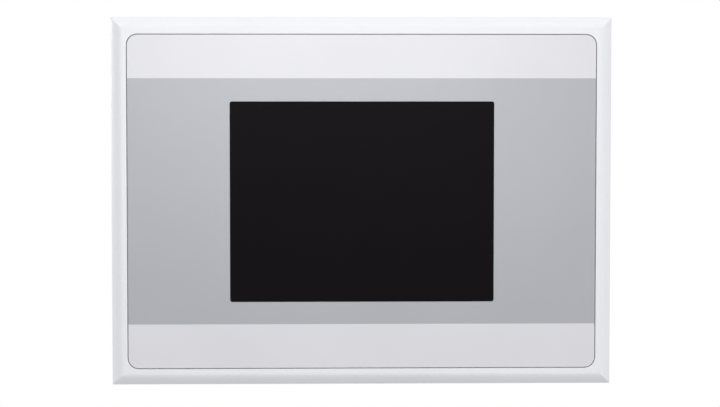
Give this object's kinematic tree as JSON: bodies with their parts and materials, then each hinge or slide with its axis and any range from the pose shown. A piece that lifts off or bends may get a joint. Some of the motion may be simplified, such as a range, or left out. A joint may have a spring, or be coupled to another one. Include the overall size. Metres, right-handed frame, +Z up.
{
  "type": "operator touch panel",
  "caption": "Panel-mounted operator touch display with a mitred front frame, printed overlay, rear housing with plug bay, and screw clamps.",
  "frame": {"origin": "middle of the plane where the front frame's flange meets the cabinet's sheet, which is the middle of the cut-out", "axes": "-Y out of the front, +Y into the cabinet, +X right as the user sees it, +Z up"},
  "size_m": [0.136, 0.03, 0.1],
  "materials": {
    "frame_plastic": "fine satin",
    "overlay_foil": "satin",
    "adhesive": "matt",
    "touch_film": "gloss",
    "glass": "polished",
    "polyimide": "satin",
    "foam": "matt",
    "pressed_steel": "satin",
    "acrylic": "frosted",
    "board_laminate": "solder resist",
    "seal_rubber": "matt",
    "housing_plastic": "fine texture",
    "label_film": "satin",
    "plated_steel": "bright zinc",
    "connector_shell": "tin plate",
    "black_moulding": "matt",
    "aluminium": "satin",
    "fuse_ceramic": "matt",
    "terminal_plastic": "satin"
  },
  "bodies": {
    "panel": {"backlight_strip": "board_laminate", "bulk_capacitor": "aluminium", "card_socket": "connector_shell", "cell_holder": "black_moulding", "clamp_bracket_1": "pressed_steel", "clamp_bracket_2": "pressed_steel", "clamp_bracket_3": "pressed_steel", "clamp_bracket_4": "pressed_steel", "coin_cell": "plated_steel", "ctrl_switch": "black_moulding", "display_foam": "foam", "display_tail": "polyimide", "flash_chip": "black_moulding", "foil_adhesive": "adhesive", "front_foil": "overlay_foil", "front_frame": "frame_plastic", "fuse": "fuse_ceramic", "heat_spreader": "aluminium", "housing_screw_1": "plated_steel", "housing_screw_2": "plated_steel", "housing_screw_3": "plated_steel", "housing_screw_4": "plated_steel", "jackscrew_1": "plated_steel", "jackscrew_2": "plated_steel", "lcd_frame": "pressed_steel", "lcd_glass": "glass", "light_guide": "acrylic", "main_board": "board_laminate", "memory_chip": "black_moulding", "network_jack": "connector_shell", "panel_seal": "seal_rubber", "power_header": "terminal_plastic", "power_inductor": "black_moulding", "processor": "black_moulding", "rating_label": "label_film", "rear_housing": "housing_plastic", "serial_insert": "black_moulding", "serial_shell": "connector_shell", "sounder": "black_moulding", "touch_film": "touch_film", "touch_glass": "glass", "touch_tail": "polyimide", "usb_a_socket": "connector_shell", "usb_mini_socket": "connector_shell"},
    "ctrl_button": {"ctrl_button": "black_moulding"},
    "memory_card": {"memory_card": "black_moulding"},
    "power_plug": {"power_plug": "terminal_plastic"},
    "terminal_screw_1": {"terminal_screw_1": "plated_steel"},
    "terminal_screw_2": {"terminal_screw_2": "plated_steel"},
    "terminal_screw_3": {"terminal_screw_3": "plated_steel"},
    "clamp_foot_1": {"clamp_foot_1": "seal_rubber"},
    "clamp_foot_2": {"clamp_foot_2": "seal_rubber"},
    "clamp_foot_3": {"clamp_foot_3": "seal_rubber"},
    "clamp_foot_4": {"clamp_foot_4": "seal_rubber"},
    "clamp_screw_1": {"clamp_screw_1": "plated_steel"},
    "clamp_screw_2": {"clamp_screw_2": "plated_steel"},
    "clamp_screw_3": {"clamp_screw_3": "plated_steel"},
    "clamp_screw_4": {"clamp_screw_4": "plated_steel"}
  },
  "joints": [
    {"name": "clamp_feed_1", "type": "slide", "parent": "panel", "child": "clamp_foot_1", "axis": [0, -1, 0], "range_m": [0, 0.0045]},
    {"name": "clamp_turn_1", "type": "hinge", "parent": "clamp_foot_1", "child": "clamp_screw_1", "pos_m": [-0.0644, 0.015, 0.027], "axis": [0, -1, 0], "range_deg": [0, 2315]},
    {"name": "clamp_feed_2", "type": "slide", "parent": "panel", "child": "clamp_foot_2", "axis": [0, -1, 0], "range_m": [0, 0.0045]},
    {"name": "clamp_turn_2", "type": "hinge", "parent": "clamp_foot_2", "child": "clamp_screw_2", "pos_m": [0.0644, 0.015, 0.027], "axis": [0, -1, 0], "range_deg": [0, 2315]},
    {"name": "clamp_feed_3", "type": "slide", "parent": "panel", "child": "clamp_foot_3", "axis": [0, -1, 0], "range_m": [0, 0.0045]},
    {"name": "clamp_turn_3", "type": "hinge", "parent": "clamp_foot_3", "child": "clamp_screw_3", "pos_m": [-0.0644, 0.015, -0.027], "axis": [0, -1, 0], "range_deg": [0, 2315]},
    {"name": "clamp_feed_4", "type": "slide", "parent": "panel", "child": "clamp_foot_4", "axis": [0, -1, 0], "range_m": [0, 0.0045]},
    {"name": "clamp_turn_4", "type": "hinge", "parent": "clamp_foot_4", "child": "clamp_screw_4", "pos_m": [0.0644, 0.015, -0.027], "axis": [0, -1, 0], "range_deg": [0, 2315]},
    {"name": "button_press", "type": "slide", "parent": "panel", "child": "ctrl_button", "axis": [-1, 0, 0], "range_m": [0, 0.0006], "stiffness_N_per_m": 2500, "springref_m": -0.0002},
    {"name": "card_slide", "type": "slide", "parent": "panel", "child": "memory_card", "axis": [-1, 0, 0], "range_m": [0, 0.024]},
    {"name": "plug_pull", "type": "slide", "parent": "panel", "child": "power_plug", "axis": [0, 0, -1], "range_m": [0, 0.0085]},
    {"name": "terminal_turn_1", "type": "hinge", "parent": "power_plug", "child": "terminal_screw_1", "pos_m": [-0.04308, 0.015, -0.04125], "axis": [0, 1, 0], "range_deg": [0, 360]},
    {"name": "terminal_turn_2", "type": "hinge", "parent": "power_plug", "child": "terminal_screw_2", "pos_m": [-0.038, 0.015, -0.04125], "axis": [0, 1, 0], "range_deg": [0, 360]},
    {"name": "terminal_turn_3", "type": "hinge", "parent": "power_plug", "child": "terminal_screw_3", "pos_m": [-0.03292, 0.015, -0.04125], "axis": [0, 1, 0], "range_deg": [0, 360]}
  ],
  "couplings": [
    {"joint": "clamp_turn_1", "follows": "clamp_feed_1", "rad_per_m": 8976},
    {"joint": "clamp_turn_2", "follows": "clamp_feed_2", "rad_per_m": 8976},
    {"joint": "clamp_turn_3", "follows": "clamp_feed_3", "rad_per_m": 8976},
    {"joint": "clamp_turn_4", "follows": "clamp_feed_4", "rad_per_m": 8976}
  ]
}
